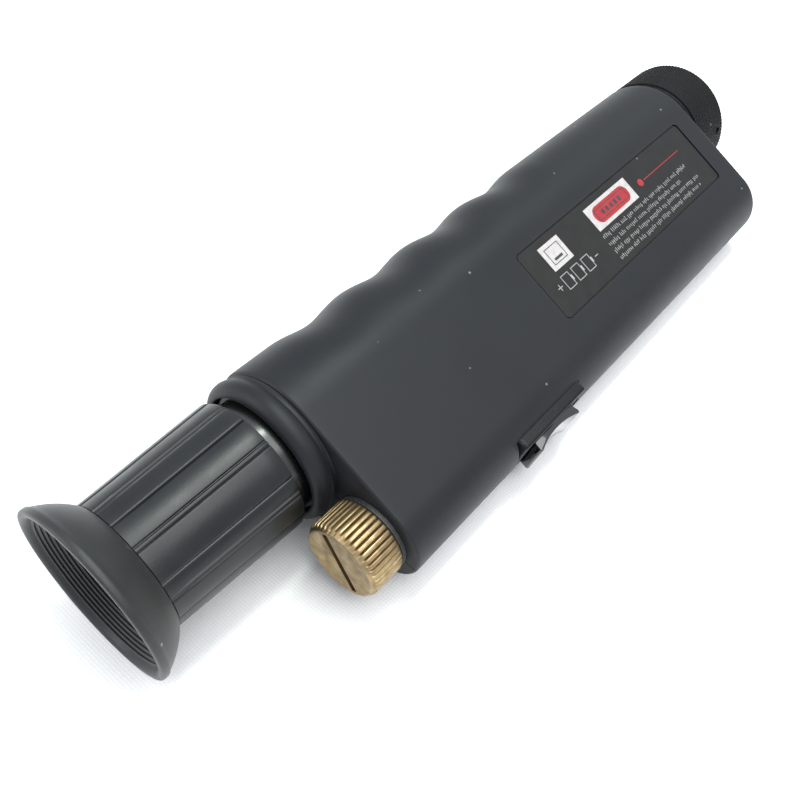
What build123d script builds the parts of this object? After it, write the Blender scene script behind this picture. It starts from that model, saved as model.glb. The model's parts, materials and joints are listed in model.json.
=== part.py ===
"""Hand-held fibre-optic inspection microscope, as an assembly of separate pieces.

The optical axis lies along X. Stations are distances along that axis, counted from the eyecup's
front rim, and the world origin is the mouth of the ferrule bore at the other end. The body has a
teardrop section: a round tube side about the optical axis, and a smaller round side that holds
the batteries and the switch. It lies on its lower flank, so the section's mid-plane is tilted.
"""
from build123d import *
from math import cos, radians, sin, tan
import os

os.makedirs("parts", exist_ok=True)

# ---- driving dimensions, in millimetres and degrees ----
tip_station = 198.1
flank_angle = 13.0
tube_side_r = 15.2
small_side_offset = 24.9
wall = 2.2
seam_gap = 0.2
body_start = 42.2
collar_front = 37.2
collar_recess_r = 13.05
collar_recess_depth = 3.8
body_end = 178.5

barrel_r_front = 12.9
barrel_r_rear = 13.9
barrel_front = 7.3
barrel_rear = 34.8
rim_r = 17.6

draw_tube_r = 11.9
running_clearance = 0.05
optical_tube_r = 12.6

battery_offset = 23.9
knob_r = 8.1
coin_slot_width = 1.3
coin_slot_length = 13.4
knob_front = 33.3
knob_rear = 41.2
cell_r = 5.8
cell_height = 5.4
cell_count = 3

switch_station = 83.9
switch_seat = 31.9
bezel_length = 21.0
bezel_height = 13.4
bezel_thickness = 2.3
rocker_length = 13.8
rocker_width = 8.2
pivot_inset = 0.9

ring_front = 178.9
ring_end = 193.1
ring_r = 15.1
carriage_travel = 1.5
set_screw_station = 189.6
set_screw_angle = 148.5
set_screw_r = 0.93

label_start = 102.2
label_length = 68.8
label_top = 2.5
label_height = 16.8

screw_stations = (71.8, 99.2, 172.2)
screw_r = 1.0

# ---- derived dimensions ----
small_side_r = tube_side_r - small_side_offset * sin(radians(flank_angle))
bushing_r = 13.0
bore_r = 1.26

# ---- reference directions, planes and axes ----
along_section = Vector(0, cos(radians(flank_angle)), sin(radians(flank_angle)))
section_up = Vector(0, -sin(radians(flank_angle)), cos(radians(flank_angle)))
rim_centre = Vector(-tip_station, 0, 0)
optical_axis = Axis((0, 0, 0), (1, 0, 0))
battery_axis = Axis(tuple(along_section * -battery_offset), (1, 0, 0))


def section(station):
    """Cross-section at a station: x across the body towards the tube side, y up the section."""
    return Plane(rim_centre + Vector(station, 0, 0), x_dir=along_section, z_dir=(1, 0, 0))


def battery_section(station):
    """The same cross-section, centred on the battery axis."""
    origin = rim_centre + Vector(station, 0, 0) - along_section * battery_offset
    return Plane(origin, x_dir=along_section, z_dir=(1, 0, 0))


def seam_plane(height=0.0):
    """Plane of the housing seam, or parallel to it: x is the station, y across the body."""
    return Plane(rim_centre + section_up * height, x_dir=(1, 0, 0), z_dir=section_up)


def radial_plane(angle, radius):
    """Plane facing away from the optical axis, at an angle from the body's mid-plane."""
    outward = along_section * cos(radians(angle)) + section_up * sin(radians(angle))
    return Plane(rim_centre + outward * radius, x_dir=(1, 0, 0), z_dir=outward)


def side_plane(offset):
    """Plane across the body, facing the switch side: x is the station, y up the section."""
    origin = rim_centre + along_section * offset
    return Plane(origin, x_dir=(1, 0, 0), z_dir=-along_section)


# Upper flank: x is the station, y runs along the flank from the tube side to the small side.
flank_normal = section_up.rotate(Axis.X, flank_angle)
flank_plane = Plane(
    rim_centre + flank_normal * tube_side_r, x_dir=(1, 0, 0), z_dir=flank_normal
)


def teardrop(inset):
    """Adds the body's section, inset all round, to the sketch that is being built."""
    Circle(tube_side_r - inset)
    with Locations((-small_side_offset, 0)):
        Circle(small_side_r - inset)
    make_hull()


# =============================== eyepiece ===============================
cup_mouth_r = 16.4
cup_seat = 5.5
spigot_r = 12.5
with BuildPart() as eyecup:
    with BuildSketch(Plane(rim_centre, x_dir=(1, 0, 0), z_dir=(0, -1, 0))):
        with BuildLine():
            Line((0.0, cup_mouth_r), (0.0, rim_r - 0.4))
            RadiusArc((0.0, rim_r - 0.4), (0.4, rim_r), 0.4)
            Line((0.4, rim_r), (1.4, rim_r))
            Line((1.4, rim_r), (1.7, rim_r - 0.35))
            ThreePointArc((1.7, rim_r - 0.35), (4.9, 15.2), (barrel_front - 0.1, barrel_r_front + 0.05))
            Polyline(
                (barrel_front - 0.1, barrel_r_front + 0.05),
                (barrel_front - 0.1, spigot_r + 0.05),
                (cup_seat, spigot_r + 0.05),
                (cup_seat, 11.4),
                (0.0, cup_mouth_r),
            )
        make_face()
    revolve(axis=optical_axis)
eyecup.part.label = "eyecup"
export_step(eyecup.part, "parts/eyecup.step")

rib_count = 9
with BuildPart() as eyepiece_sleeve:
    with BuildSketch(Plane(rim_centre, x_dir=(1, 0, 0), z_dir=(0, -1, 0))):
        with BuildLine():
            Polyline(
                (cup_seat + 0.1, draw_tube_r + running_clearance),
                (cup_seat + 0.1, spigot_r),
                (barrel_front, spigot_r),
                (barrel_front, barrel_r_front),
                (barrel_rear - 0.4, barrel_r_rear),
                (barrel_rear, barrel_r_rear - 0.4),
                (barrel_rear, draw_tube_r + running_clearance),
                close=True,
            )
        make_face()
    revolve(axis=optical_axis)
    with BuildSketch(section(barrel_front + 1.0)):
        with PolarLocations(barrel_r_rear, rib_count):
            Rectangle(1.4, 1.6)
    extrude(amount=barrel_rear - barrel_front, mode=Mode.SUBTRACT)
eyepiece_sleeve.part.label = "eyepiece_sleeve"
export_step(eyepiece_sleeve.part, "parts/eyepiece_sleeve.step")

draw_tube_front = 5.8
draw_tube_rear = 62.0
with BuildPart() as eyepiece_tube:
    with BuildSketch(section(draw_tube_front)):
        Circle(draw_tube_r)
        Circle(draw_tube_r - 0.9, mode=Mode.SUBTRACT)
    extrude(amount=draw_tube_rear - draw_tube_front)
eyepiece_tube.part.label = "eyepiece_tube"
export_step(eyepiece_tube.part, "parts/eyepiece_tube.step")

lens_r = draw_tube_r - 1.0
with BuildPart() as lens_retaining_ring:
    with BuildSketch(section(7.6)):
        Circle(lens_r)
        Circle(lens_r - 2.2, mode=Mode.SUBTRACT)
        with PolarLocations(lens_r - 2.2, 2):
            Rectangle(1.6, 1.4, mode=Mode.SUBTRACT)
    extrude(amount=1.7)
lens_retaining_ring.part.label = "lens_retaining_ring"
export_step(lens_retaining_ring.part, "parts/lens_retaining_ring.step")

with BuildPart() as eye_lens:
    with BuildSketch(Plane(rim_centre, x_dir=(1, 0, 0), z_dir=(0, -1, 0))):
        with BuildLine():
            TangentArc((9.4, 0), (11.4, lens_r), tangent=(0, 1))
            Polyline((11.4, lens_r), (14.0, lens_r), (14.0, 0), (9.4, 0))
        make_face()
    revolve(axis=optical_axis)
eye_lens.part.label = "eye_lens"
export_step(eye_lens.part, "parts/eye_lens.step")

with BuildPart() as lens_spacer:
    with BuildSketch(section(14.1)):
        Circle(lens_r)
        Circle(lens_r - 1.0, mode=Mode.SUBTRACT)
    extrude(amount=12.8)
lens_spacer.part.label = "lens_spacer"
export_step(lens_spacer.part, "parts/lens_spacer.step")

with BuildPart() as field_lens:
    with BuildSketch(Plane(rim_centre, x_dir=(1, 0, 0), z_dir=(0, -1, 0))):
        with BuildLine():
            TangentArc((30.8, 0), (28.8, lens_r), tangent=(0, 1))
            Polyline((28.8, lens_r), (27.0, lens_r), (27.0, 0), (30.8, 0))
        make_face()
    revolve(axis=optical_axis)
field_lens.part.label = "field_lens"
export_step(field_lens.part, "parts/field_lens.step")

with BuildPart() as field_stop:
    with BuildSketch(section(42.0)):
        Circle(lens_r)
        Circle(5.0, mode=Mode.SUBTRACT)
    extrude(amount=1.0)
field_stop.part.label = "field_stop"
export_step(field_stop.part, "parts/field_stop.step")

# =============================== housing ===============================
groove_count = 4
groove_pitch = 19.6
first_groove = 62.2
groove_depth = 1.2
groove_blend_r = 30.0
groove_axis_offset = 3.0
groove_waist_r = tube_side_r - groove_depth + groove_axis_offset
with BuildPart() as groove_cutter:
    for i in range(groove_count):
        station = first_groove + i * groove_pitch
        centre_y = tube_side_r - groove_depth + groove_blend_r
        with BuildSketch(seam_plane()):
            with Locations((station, centre_y)):
                Circle(groove_blend_r)
            with Locations((station, centre_y + groove_blend_r * 0.6)):
                Rectangle(
                    2.1 * groove_blend_r, 2.6 * groove_blend_r,
                    align=(Align.CENTER, Align.MIN), mode=Mode.SUBTRACT,
                )
            with Locations((station, tube_side_r + 1.5)):
                Rectangle(
                    2.1 * groove_blend_r, 3.0 * groove_blend_r,
                    align=(Align.CENTER, Align.MIN), mode=Mode.SUBTRACT,
                )
        revolve(
            axis=Axis(tuple(along_section * -groove_axis_offset), (1, 0, 0)),
            revolution_arc=65,
        )

boss_r = 2.4
floor_to_seam = tube_side_r + 1.0
halves = {}
for name, side in (("housing_upper", 1), ("housing_lower", -1)):
    with BuildPart() as shell:
        with BuildSketch(section(body_start)):
            teardrop(0)
        extrude(amount=body_end - body_start)
        fillet(shell.edges().group_by(Axis.X)[0], 1.8)
        fillet(shell.edges().group_by(Axis.X)[-1], 0.6)
        with BuildSketch(section(body_start + 1.6)):
            teardrop(wall)
        extrude(amount=body_end - body_start - 3.2, mode=Mode.SUBTRACT)
        with BuildSketch(section(body_start - 1.0)):
            Circle(optical_tube_r + 0.02)
        extrude(amount=body_end - body_start + 2.0, mode=Mode.SUBTRACT)
        with BuildSketch(battery_section(body_start - 1.0)):
            Circle(7.52)
        extrude(amount=3.0, mode=Mode.SUBTRACT)
        with BuildSketch(side_plane(-switch_seat)):
            with Locations((switch_station, 0)):
                Rectangle(bezel_length + 1.6, 3.0 * bezel_height)
        extrude(amount=10.0, mode=Mode.SUBTRACT)
        with BuildSketch(side_plane(-switch_seat + 4.0)):
            with Locations((switch_station, 0)):
                Rectangle(18.8, 11.2)
        extrude(amount=6.0, mode=Mode.SUBTRACT)
        with BuildSketch(flank_plane):
            with Locations((label_start + label_length / 2, -label_top - label_height / 2)):
                RectangleRounded(label_length + 0.6, label_height + 0.6, 1.2)
        extrude(amount=-0.5, mode=Mode.SUBTRACT)
        with BuildSketch(seam_plane(side * seam_gap / 2)):
            with Locations(*[(station, -battery_offset) for station in screw_stations]):
                Circle(boss_r)
        extrude(amount=side * (small_side_r - 1.2))
        if side > 0:
            with BuildSketch(seam_plane()):
                with Locations(*[(station, -battery_offset) for station in screw_stations]):
                    Circle(screw_r + 0.02)
            extrude(amount=6.0, mode=Mode.SUBTRACT)
        else:
            with BuildSketch(seam_plane()):
                with Locations(*[(station, -battery_offset) for station in screw_stations]):
                    Circle(screw_r + 0.1)
            extrude(amount=-floor_to_seam, mode=Mode.SUBTRACT)
            with BuildSketch(seam_plane(-small_side_r + 2.4)):
                with Locations(*[(station, -battery_offset) for station in screw_stations]):
                    Circle(2.05)
            extrude(amount=-5.0, mode=Mode.SUBTRACT)
        add(groove_cutter.part, mode=Mode.SUBTRACT)
        keep = Keep.TOP if side > 0 else Keep.BOTTOM
        split(bisect_by=seam_plane(side * seam_gap / 2), keep=keep)
    shell.part.label = name
    halves[name] = shell.part
    export_step(shell.part, f"parts/{name}.step")

with BuildPart() as collar_ring:
    with BuildSketch(section(collar_front)):
        Circle(tube_side_r)
        Circle(optical_tube_r + 0.02, mode=Mode.SUBTRACT)
    extrude(amount=body_start - 0.1 - collar_front)
    fillet(collar_ring.edges().filter_by(GeomType.CIRCLE).sort_by(SortBy.RADIUS)[-2:], 1.8)
    with BuildSketch(section(collar_front)):
        Circle(collar_recess_r)
    extrude(amount=collar_recess_depth, mode=Mode.SUBTRACT)
collar_ring.part.label = "collar_ring"
export_step(collar_ring.part, "parts/collar_ring.step")

screw_length = 13.0
screw_head_top = -small_side_r + 2.38
with BuildPart() as housing_screws:
    with BuildSketch(seam_plane(screw_head_top)):
        with Locations(*[(station, -battery_offset) for station in screw_stations]):
            Circle(screw_r)
    extrude(amount=screw_length)
    with BuildSketch(seam_plane(screw_head_top)):
        with Locations(*[(station, -battery_offset) for station in screw_stations]):
            Circle(1.9)
    extrude(amount=-1.3)
    with BuildSketch(seam_plane(screw_head_top - 1.3)):
        with Locations(*[(station, -battery_offset) for station in screw_stations]):
            Rectangle(2.4, 0.5)
            Rectangle(0.5, 2.4)
    extrude(amount=0.8, mode=Mode.SUBTRACT)
housing_screws.part.label = "housing_screws"
export_step(housing_screws.part, "parts/housing_screws.step")

# =============================== optics inside the body ===============================
optical_tube_rear = 172.0
light_port_station = 134.0
with BuildPart() as optical_tube:
    with BuildSketch(section(38.6)):
        Circle(optical_tube_r)
        Circle(draw_tube_r + running_clearance, mode=Mode.SUBTRACT)
    extrude(amount=optical_tube_rear - 38.6)
    with BuildSketch(side_plane(-8.0)):
        with Locations((light_port_station, 0)):
            Circle(2.8)
    extrude(amount=8.0, mode=Mode.SUBTRACT)
optical_tube.part.label = "optical_tube"
export_step(optical_tube.part, "parts/optical_tube.step")

inner_r = draw_tube_r - 0.05
with BuildPart() as safety_filter:
    with BuildSketch(section(112.0)):
        Circle(inner_r)
    extrude(amount=2.0)
safety_filter.part.label = "safety_filter"
export_step(safety_filter.part, "parts/safety_filter.step")

holder_length = 17.0
with BuildPart() as splitter_holder:
    with BuildSketch(section(light_port_station - holder_length / 2)):
        Circle(inner_r)
        Circle(inner_r - 2.6, mode=Mode.SUBTRACT)
    extrude(amount=holder_length)
    with BuildSketch(side_plane(-6.0)):
        with Locations((light_port_station, 0)):
            Circle(2.8)
    extrude(amount=8.0, mode=Mode.SUBTRACT)
splitter_holder.part.label = "splitter_holder"
export_step(splitter_holder.part, "parts/splitter_holder.step")

with BuildPart() as beam_splitter:
    with BuildSketch(seam_plane(-6.0)):
        with Locations((light_port_station, 0)):
            Rectangle(1.0, 15.0, rotation=45)
    extrude(amount=12.0)
beam_splitter.part.label = "beam_splitter"
export_step(beam_splitter.part, "parts/beam_splitter.step")

carriage_start = 150.0
carriage_end = 182.4
pin_station = 181.0
pin_r = 0.68
with BuildPart() as objective_carriage:
    with BuildSketch(section(carriage_start)):
        Circle(draw_tube_r)
        Circle(6.2, mode=Mode.SUBTRACT)
    extrude(amount=carriage_end - carriage_start)
    with BuildSketch(section(carriage_start)):
        Circle(10.6)
    extrude(amount=20.0, mode=Mode.SUBTRACT)
    with BuildSketch(seam_plane(8.0)):
        with Locations((pin_station, 0)):
            Circle(pin_r + 0.02)
    extrude(amount=6.0, mode=Mode.SUBTRACT)
objective_carriage.part.label = "objective_carriage"
export_step(objective_carriage.part, "parts/objective_carriage.step")

with BuildPart() as objective_lens:
    with BuildSketch(Plane(rim_centre, x_dir=(1, 0, 0), z_dir=(0, -1, 0))):
        with BuildLine():
            TangentArc((178.8, 0), (177.0, 6.15), tangent=(0, 1))
            Polyline((177.0, 6.15), (174.0, 6.15), (174.0, 0), (178.8, 0))
        make_face()
    revolve(axis=optical_axis)
objective_lens.part.label = "objective_lens"
export_step(objective_lens.part, "parts/objective_lens.step")

# =============================== focusing at the objective end ===============================
slot_width = 2 * pin_r + 0.6
with BuildPart() as front_bushing:
    with BuildSketch(section(optical_tube_rear + 0.2)):
        Circle(bushing_r - 0.6)
    extrude(amount=body_end - optical_tube_rear)
    with BuildSketch(section(body_end + 0.1)):
        Circle(bushing_r)
    extrude(amount=190.4 - body_end - 0.1)
    with BuildSketch(section(optical_tube_rear)):
        Circle(draw_tube_r + running_clearance)
    extrude(amount=187.6 - optical_tube_rear, mode=Mode.SUBTRACT)
    with BuildSketch(section(186.0)):
        Circle(6.0 + running_clearance)
    extrude(amount=8.0, mode=Mode.SUBTRACT)
    with BuildSketch(seam_plane(8.0)):
        with Locations((pin_station, 0)):
            SlotOverall(slot_width + 2 * carriage_travel + 0.8, slot_width)
    extrude(amount=8.0, mode=Mode.SUBTRACT)
front_bushing.part.label = "front_bushing"
export_step(front_bushing.part, "parts/front_bushing.step")

with BuildPart() as focus_pin:
    with BuildSketch(seam_plane(8.1)):
        with Locations((pin_station, 0)):
            Circle(pin_r)
    extrude(amount=5.6)
focus_pin.part.label = "focus_pin"
export_step(focus_pin.part, "parts/focus_pin.step")

cam_length = 2 * pin_r + 2 * carriage_travel + 1.2
ring_teeth = 60
with BuildPart() as focus_ring:
    with BuildSketch(section(ring_front)):
        Circle(ring_r)
        with PolarLocations(ring_r + 0.1, ring_teeth):
            Rectangle(0.6, 0.6, rotation=45, mode=Mode.SUBTRACT)
    extrude(amount=ring_end - ring_front)
    with BuildSketch(section(ring_front)):
        Circle(ring_r + 1.0)
        Circle(ring_r - 0.45, mode=Mode.SUBTRACT)
    extrude(amount=0.8, mode=Mode.SUBTRACT)
    with BuildSketch(section(ring_end)):
        Circle(ring_r + 1.0)
        Circle(ring_r - 0.45, mode=Mode.SUBTRACT)
    extrude(amount=-0.8, mode=Mode.SUBTRACT)
    with BuildSketch(section(ring_front)):
        Circle(bushing_r + running_clearance)
    extrude(amount=190.8 - ring_front, mode=Mode.SUBTRACT)
    with BuildSketch(section(ring_front)):
        Circle(7.6)
    extrude(amount=ring_end - ring_front, mode=Mode.SUBTRACT)
    with BuildSketch(section(pin_station - cam_length / 2)):
        Circle(14.2)
    extrude(amount=cam_length, mode=Mode.SUBTRACT)
    with BuildSketch(radial_plane(set_screw_angle, bushing_r - 1.0)):
        with Locations((set_screw_station, 0)):
            Circle(set_screw_r + 0.02)
    extrude(amount=4.0, mode=Mode.SUBTRACT)
focus_ring.part.label = "focus_ring"
export_step(focus_ring.part, "parts/focus_ring.step")

with BuildPart() as set_screw:
    with BuildSketch(radial_plane(set_screw_angle, bushing_r + 0.25)):
        with Locations((set_screw_station, 0)):
            Circle(set_screw_r)
    extrude(amount=1.3)
    with BuildSketch(radial_plane(set_screw_angle, bushing_r + 0.9)):
        with Locations((set_screw_station, 0)):
            RegularPolygon(0.5, 6)
    extrude(amount=1.0, mode=Mode.SUBTRACT)
set_screw.part.label = "set_screw"
export_step(set_screw.part, "parts/set_screw.step")

# =============================== ferrule adapter ===============================
with BuildPart() as ferrule_adapter:
    with BuildSketch(section(184.6)):
        Circle(6.0)
    extrude(amount=9.0)
    with BuildSketch(section(190.9)):
        Circle(7.2)
    extrude(amount=2.4)
    with BuildSketch(section(193.3)):
        Circle(4.9)
    extrude(amount=tip_station - 193.3)
    chamfer(ferrule_adapter.faces().sort_by(Axis.X)[-1].edges(), 0.5)
    with BuildSketch(section(184.0)):
        Circle(bore_r)
    extrude(amount=tip_station - 184.0 + 1.0, mode=Mode.SUBTRACT)
ferrule_adapter.part.label = "ferrule_adapter"
export_step(ferrule_adapter.part, "parts/ferrule_adapter.step")

# =============================== battery compartment ===============================
tube_floor = 68.0
with BuildPart() as battery_tube:
    with BuildSketch(battery_section(body_start + 0.1)):
        Circle(7.5)
    extrude(amount=tube_floor + 1.2 - body_start)
    with BuildSketch(battery_section(body_start)):
        Circle(6.0)
    extrude(amount=tube_floor - body_start, mode=Mode.SUBTRACT)
    with BuildSketch(battery_section(body_start)):
        Circle(6.9)
    extrude(amount=5.0, mode=Mode.SUBTRACT)
battery_tube.part.label = "battery_tube"
export_step(battery_tube.part, "parts/battery_tube.step")

knob_teeth = 42
with BuildPart() as battery_cap:
    with BuildSketch(battery_section(knob_front + 1.0)):
        Circle(knob_r)
        with PolarLocations(knob_r + 0.08, knob_teeth):
            Rectangle(0.72, 0.72, rotation=45, mode=Mode.SUBTRACT)
    extrude(amount=knob_rear - knob_front - 1.0)
    with BuildSketch(battery_section(knob_front)):
        Circle(knob_r - 0.4)
    extrude(amount=1.2)
    chamfer(battery_cap.faces().sort_by(Axis.X)[0].edges(), 0.7)
    with BuildSketch(battery_section(knob_rear)):
        Circle(6.85)
    extrude(amount=5.2)
    with BuildSketch(battery_section(knob_rear + 1.0)):
        Circle(4.4)
    extrude(amount=6.0, mode=Mode.SUBTRACT)
    with BuildSketch(battery_section(knob_front)):
        Rectangle(coin_slot_width, coin_slot_length, rotation=-46.5)
    extrude(amount=1.6, mode=Mode.SUBTRACT)
battery_cap.part.label = "battery_cap"
export_step(battery_cap.part, "parts/battery_cap.step")

with BuildPart() as cap_seal:
    with BuildSketch(battery_section(knob_rear + 0.05)):
        Circle(7.9)
        Circle(6.87, mode=Mode.SUBTRACT)
    extrude(amount=body_start - knob_rear - 0.15)
cap_seal.part.label = "cap_seal"
export_step(cap_seal.part, "parts/cap_seal.step")

first_cell = 47.9
with BuildPart() as cap_contact:
    with BuildSketch(battery_section(knob_rear + 1.2)):
        Circle(4.35)
    extrude(amount=first_cell - 0.1 - knob_rear - 1.2)
    fillet(cap_contact.faces().sort_by(Axis.X)[-1].edges(), 0.4)
cap_contact.part.label = "cap_contact"
export_step(cap_contact.part, "parts/cap_contact.step")

with BuildPart() as button_cells:
    for i in range(cell_count):
        with BuildSketch(battery_section(first_cell + i * (cell_height + 0.04))):
            Circle(cell_r)
        extrude(amount=cell_height)
button_cells.part.label = "button_cells"
export_step(button_cells.part, "parts/button_cells.step")

spring_start = first_cell + cell_count * (cell_height + 0.04) + 0.4
spring_length = tube_floor - 0.4 - spring_start - 0.3
spring_foot = rim_centre + Vector(spring_start, 0, 0) - along_section * battery_offset
with BuildPart() as battery_spring:
    with BuildLine() as coil:
        Helix(
            pitch=spring_length / 3, height=spring_length, radius=4.2,
            center=tuple(spring_foot), direction=(1, 0, 0),
        )
    with BuildSketch(Plane(coil.line @ 0, z_dir=coil.line % 0)):
        Circle(0.3)
    sweep()
battery_spring.part.label = "battery_spring"
export_step(battery_spring.part, "parts/battery_spring.step")

with BuildPart() as rear_contact:
    with BuildSketch(battery_section(tube_floor - 0.4)):
        Circle(5.5)
    extrude(amount=0.35)
rear_contact.part.label = "rear_contact"
export_step(rear_contact.part, "parts/rear_contact.step")

# =============================== rocker switch ===============================
cutout_length = 18.8
cutout_height = 11.2
switch_depth = 12.0
with BuildPart() as switch_housing:
    with BuildSketch(side_plane(-switch_seat)):
        with Locations((switch_station, 0)):
            RectangleRounded(bezel_length, bezel_height, 0.8)
    extrude(amount=bezel_thickness)
    fillet(switch_housing.faces().sort_by(Axis(tuple(along_section * 0), along_section))[0].edges(), 0.5)
    with BuildSketch(side_plane(-switch_seat)):
        with Locations((switch_station, 0)):
            Rectangle(cutout_length - 0.1, cutout_height - 0.1)
    extrude(amount=-switch_depth)
    with BuildSketch(side_plane(-switch_seat + 7.0)):
        with Locations((switch_station, 0)):
            Rectangle(rocker_length + 1.2, rocker_width + 0.8)
    extrude(amount=12.0, mode=Mode.SUBTRACT)
    with BuildSketch(seam_plane(-cutout_height / 2)):
        with Locations((switch_station, -switch_seat + pivot_inset)):
            Circle(0.78)
    extrude(amount=cutout_height, mode=Mode.SUBTRACT)
switch_housing.part.label = "switch_housing"
export_step(switch_housing.part, "parts/switch_housing.step")

pivot_depth = switch_seat - pivot_inset
rocker_top = switch_seat + bezel_thickness + 2.3
rocker_dip = 1.2
half_rocker = rocker_length / 2
with BuildPart() as rocker:
    with BuildSketch(seam_plane(-rocker_width / 2)):
        with BuildLine():
            ThreePointArc(
                (switch_station - half_rocker + 0.6, -rocker_top),
                (switch_station, -rocker_top + rocker_dip),
                (switch_station + half_rocker - 0.6, -rocker_top),
            )
            Polyline(
                (switch_station + half_rocker - 0.6, -rocker_top),
                (switch_station + half_rocker, -rocker_top + 0.6),
                (switch_station + half_rocker - 0.7, -pivot_depth - 1.4),
                (switch_station + 3.0, -pivot_depth + 2.0),
                (switch_station - 3.0, -pivot_depth + 2.0),
                (switch_station - half_rocker + 0.7, -pivot_depth - 1.4),
                (switch_station - half_rocker, -rocker_top + 0.6),
                (switch_station - half_rocker + 0.6, -rocker_top),
            )
        make_face()
    extrude(amount=rocker_width)
    with BuildSketch(seam_plane(-rocker_width)):
        with Locations((switch_station, -pivot_depth)):
            Circle(0.75 + running_clearance)
    extrude(amount=2 * rocker_width, mode=Mode.SUBTRACT)
rocker.part.label = "rocker"
export_step(rocker.part, "parts/rocker.step")

with BuildPart() as rocker_pivot:
    with BuildSketch(seam_plane(-cutout_height / 2 + 0.1)):
        with Locations((switch_station, -pivot_depth)):
            Circle(0.75)
    extrude(amount=cutout_height - 0.2)
rocker_pivot.part.label = "rocker_pivot"
export_step(rocker_pivot.part, "parts/rocker_pivot.step")

with BuildPart() as switch_terminals:
    with BuildSketch(side_plane(-switch_seat + switch_depth)):
        with Locations((switch_station - 4.5, 0), (switch_station + 4.5, 0)):
            Rectangle(0.8, 4.8)
    extrude(amount=-5.6)
switch_terminals.part.label = "switch_terminals"
export_step(switch_terminals.part, "parts/switch_terminals.step")

# =============================== lamp and circuit board ===============================
board_start = 103.0
board_end = 168.0
board_top = -1.0
with BuildPart() as circuit_board:
    with BuildSketch(seam_plane(board_top - 1.6)):
        with Locations(((board_start + board_end) / 2, -22.4)):
            RectangleRounded(board_end - board_start, 17.0, 1.0)
        with Locations((light_port_station, -15.0)):
            Rectangle(6.0, 10.6, mode=Mode.SUBTRACT)
    extrude(amount=1.6)
circuit_board.part.label = "circuit_board"
export_step(circuit_board.part, "parts/circuit_board.step")

with BuildPart() as lamp_led:
    with BuildSketch(side_plane(-18.6)):
        with Locations((light_port_station, 0)):
            Circle(2.5)
    extrude(amount=-5.4)
    fillet(lamp_led.faces().sort_by(Axis((0, 0, 0), along_section))[-1].edges(), 2.0)
    with BuildSketch(side_plane(-18.6)):
        with Locations((light_port_station, 0.1)):
            RectangleRounded(5.4, 1.6, 0.3)
    extrude(amount=1.6)
lamp_led.part.label = "lamp_led"
export_step(lamp_led.part, "parts/lamp_led.step")

with BuildPart() as driver_chip:
    with BuildSketch(seam_plane(board_top + 0.05)):
        with Locations((118.0, -22.0)):
            Rectangle(5.0, 4.0)
    extrude(amount=1.5)
    chamfer(driver_chip.faces().sort_by(Axis((0, 0, 0), section_up))[-1].edges(), 0.25)
driver_chip.part.label = "driver_chip"
export_step(driver_chip.part, "parts/driver_chip.step")

with BuildPart() as board_resistors:
    for station in (126.0, 145.0, 150.0):
        with BuildSketch(seam_plane(board_top + 0.05)):
            with Locations((station, -25.0)):
                Rectangle(1.6, 3.2)
        extrude(amount=0.6)
board_resistors.part.label = "board_resistors"
export_step(board_resistors.part, "parts/board_resistors.step")

wire_r = 0.5
wire_routes = {
    "supply_wire": [(71.0, -15.5), (75.5, -15.5), (75.5, -14.2), (78.9, -14.2)],
    "lamp_wire": [(91.5, -14.4), (97.0, -14.4), (101.0, -16.2), (106.5, -16.2)],
}
for name, route in wire_routes.items():
    with BuildPart() as wire:
        with BuildLine(seam_plane()) as path:
            FilletPolyline(*route, radius=0.6)
        with BuildSketch(Plane(path.line @ 0, z_dir=path.line % 0)):
            Circle(wire_r)
        sweep()
    wire.part.label = name
    export_step(wire.part, f"parts/{name}.step")

# =============================== label plate ===============================
with BuildPart() as label_plate:
    with BuildSketch(flank_plane.offset(-0.48)):
        with Locations((label_start + label_length / 2, -label_top - label_height / 2)):
            RectangleRounded(label_length, label_height, 1.0)
    extrude(amount=0.3)
label_plate.part.label = "label_plate"
export_step(label_plate.part, "parts/label_plate.step")
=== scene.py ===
"""Looks for the hand-held fibre-optic inspection microscope.

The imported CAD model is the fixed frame. This script rebuilds its outer pieces as detailed meshes,
gives every piece a procedural material, and sets the floor, the lights and the camera.
Lengths are in millimetres and are turned into metres by MM. Stations are counted along the optical
axis from the eyecup's rim, and the body's section is tilted about that axis by flank_angle.
"""

import json
import random
from math import ceil, cos, degrees, exp, hypot, pi, radians, sin

import bmesh
import bpy
from mathutils import Matrix, Vector

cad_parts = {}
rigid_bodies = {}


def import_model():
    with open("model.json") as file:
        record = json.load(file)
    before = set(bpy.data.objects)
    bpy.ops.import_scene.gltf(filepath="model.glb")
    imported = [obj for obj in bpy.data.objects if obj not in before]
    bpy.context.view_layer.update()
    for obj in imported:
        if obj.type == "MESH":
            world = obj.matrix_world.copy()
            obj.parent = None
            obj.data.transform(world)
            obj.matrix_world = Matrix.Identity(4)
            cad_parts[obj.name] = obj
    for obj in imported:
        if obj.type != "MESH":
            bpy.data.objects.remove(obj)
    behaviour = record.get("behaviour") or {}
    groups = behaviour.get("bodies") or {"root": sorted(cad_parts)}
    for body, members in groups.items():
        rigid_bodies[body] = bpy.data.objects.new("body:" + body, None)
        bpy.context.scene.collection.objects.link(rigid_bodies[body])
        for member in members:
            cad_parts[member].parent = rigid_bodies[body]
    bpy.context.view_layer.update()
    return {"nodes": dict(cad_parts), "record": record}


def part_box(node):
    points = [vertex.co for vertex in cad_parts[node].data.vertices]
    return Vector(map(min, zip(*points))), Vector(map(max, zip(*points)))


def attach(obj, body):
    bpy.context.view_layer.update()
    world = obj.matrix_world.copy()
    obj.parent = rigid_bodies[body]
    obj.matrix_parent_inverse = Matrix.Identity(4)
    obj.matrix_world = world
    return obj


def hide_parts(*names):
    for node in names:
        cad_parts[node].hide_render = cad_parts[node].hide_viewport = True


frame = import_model()
MM = 0.001

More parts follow.
